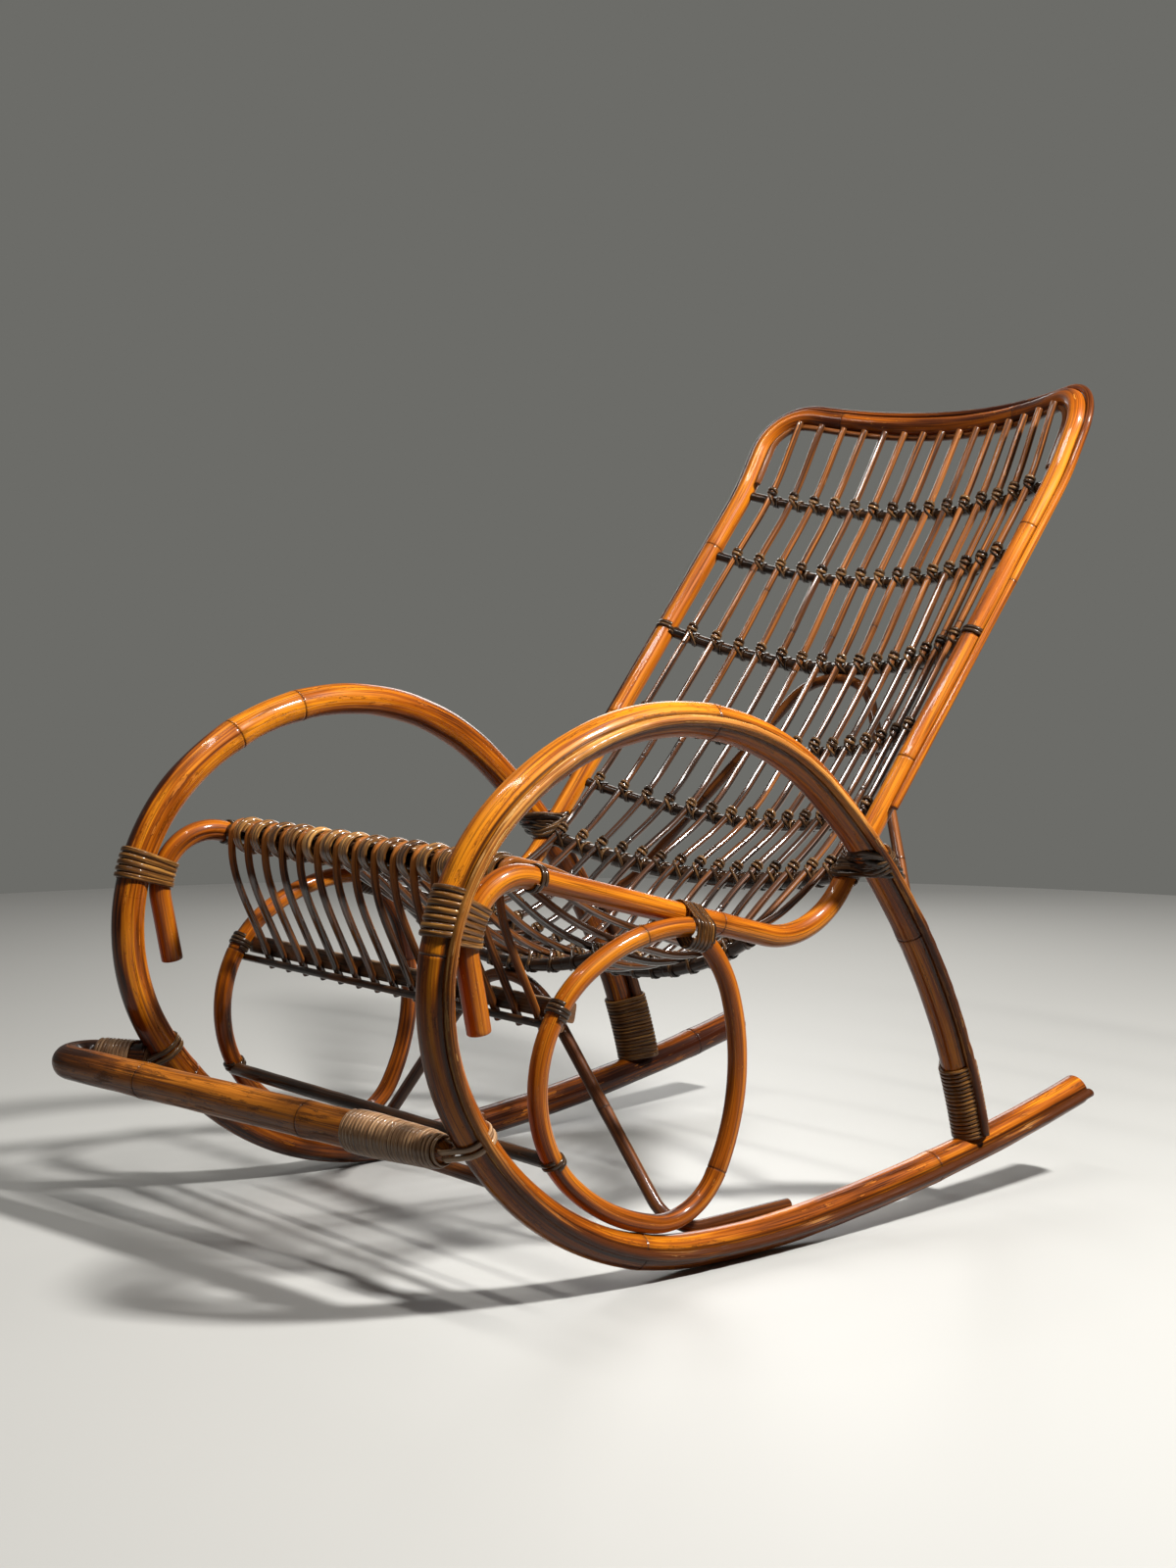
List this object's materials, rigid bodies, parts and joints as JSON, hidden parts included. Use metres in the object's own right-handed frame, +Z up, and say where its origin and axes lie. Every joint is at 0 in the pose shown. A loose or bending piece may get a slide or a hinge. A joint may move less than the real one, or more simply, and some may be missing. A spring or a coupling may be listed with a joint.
{
  "type": "rattan rocking chair",
  "caption": "Rocking chair of bent rattan poles with hoop arms that run on as rockers, a reclined slatted seat and back, rings under the seat, a foot rail and cane bindings.",
  "frame": {"origin": "on the floor, midway between the two rockers, where they stand on it", "axes": "+X to the sitter's left, +Y to the rear, +Z up"},
  "size_m": [0.692, 1.0932, 0.9273],
  "materials": {
    "pole_rattan": "gloss varnish",
    "edging_rattan": "worn gloss varnish",
    "slat_rattan": "gloss varnish",
    "dark_rattan": "varnish",
    "cane": "gloss varnish"
  },
  "bodies": {
    "root": {"apron_clamp_rod": "slat_rattan", "apron_rail": "slat_rattan", "back_arch_brace": "pole_rattan", "back_crossbar_1": "dark_rattan", "back_crossbar_2": "dark_rattan", "back_crossbar_3": "dark_rattan", "back_crossbar_4": "dark_rattan", "back_crossbar_5": "dark_rattan", "back_crossbar_6": "dark_rattan", "back_edging_rod": "edging_rattan", "back_inner_rod": "slat_rattan", "foot_rail": "pole_rattan", "front_roll": "dark_rattan", "front_roll_wrapping": "cane", "left_foot_rail_binding": "cane", "left_front_binding": "cane", "left_hoop": "pole_rattan", "left_hoop_edging": "edging_rattan", "left_leg_binding": "cane", "left_rear_lashing": "cane", "left_ring": "pole_rattan", "left_ring_binding": "cane", "right_foot_rail_binding": "cane", "right_front_binding": "cane", "right_hoop": "pole_rattan", "right_hoop_edging": "edging_rattan", "right_leg_binding": "cane", "right_rear_lashing": "cane", "right_ring": "pole_rattan", "right_ring_binding": "cane", "ring_stretcher": "dark_rattan", "rocker_stretcher": "dark_rattan", "seat_back_frame": "pole_rattan", "seat_crossbar_front": "dark_rattan", "seat_crossbar_rear": "dark_rattan", "slat_01": "slat_rattan", "slat_02": "slat_rattan", "slat_03": "slat_rattan", "slat_04": "slat_rattan", "slat_05": "slat_rattan", "slat_06": "slat_rattan", "slat_07": "slat_rattan", "slat_08": "slat_rattan", "slat_09": "slat_rattan", "slat_10": "slat_rattan", "slat_11": "slat_rattan", "slat_12": "slat_rattan", "slat_13": "slat_rattan", "slat_14": "slat_rattan", "slat_15": "slat_rattan", "under_seat_arch": "pole_rattan"}
  },
  "joints": []
}
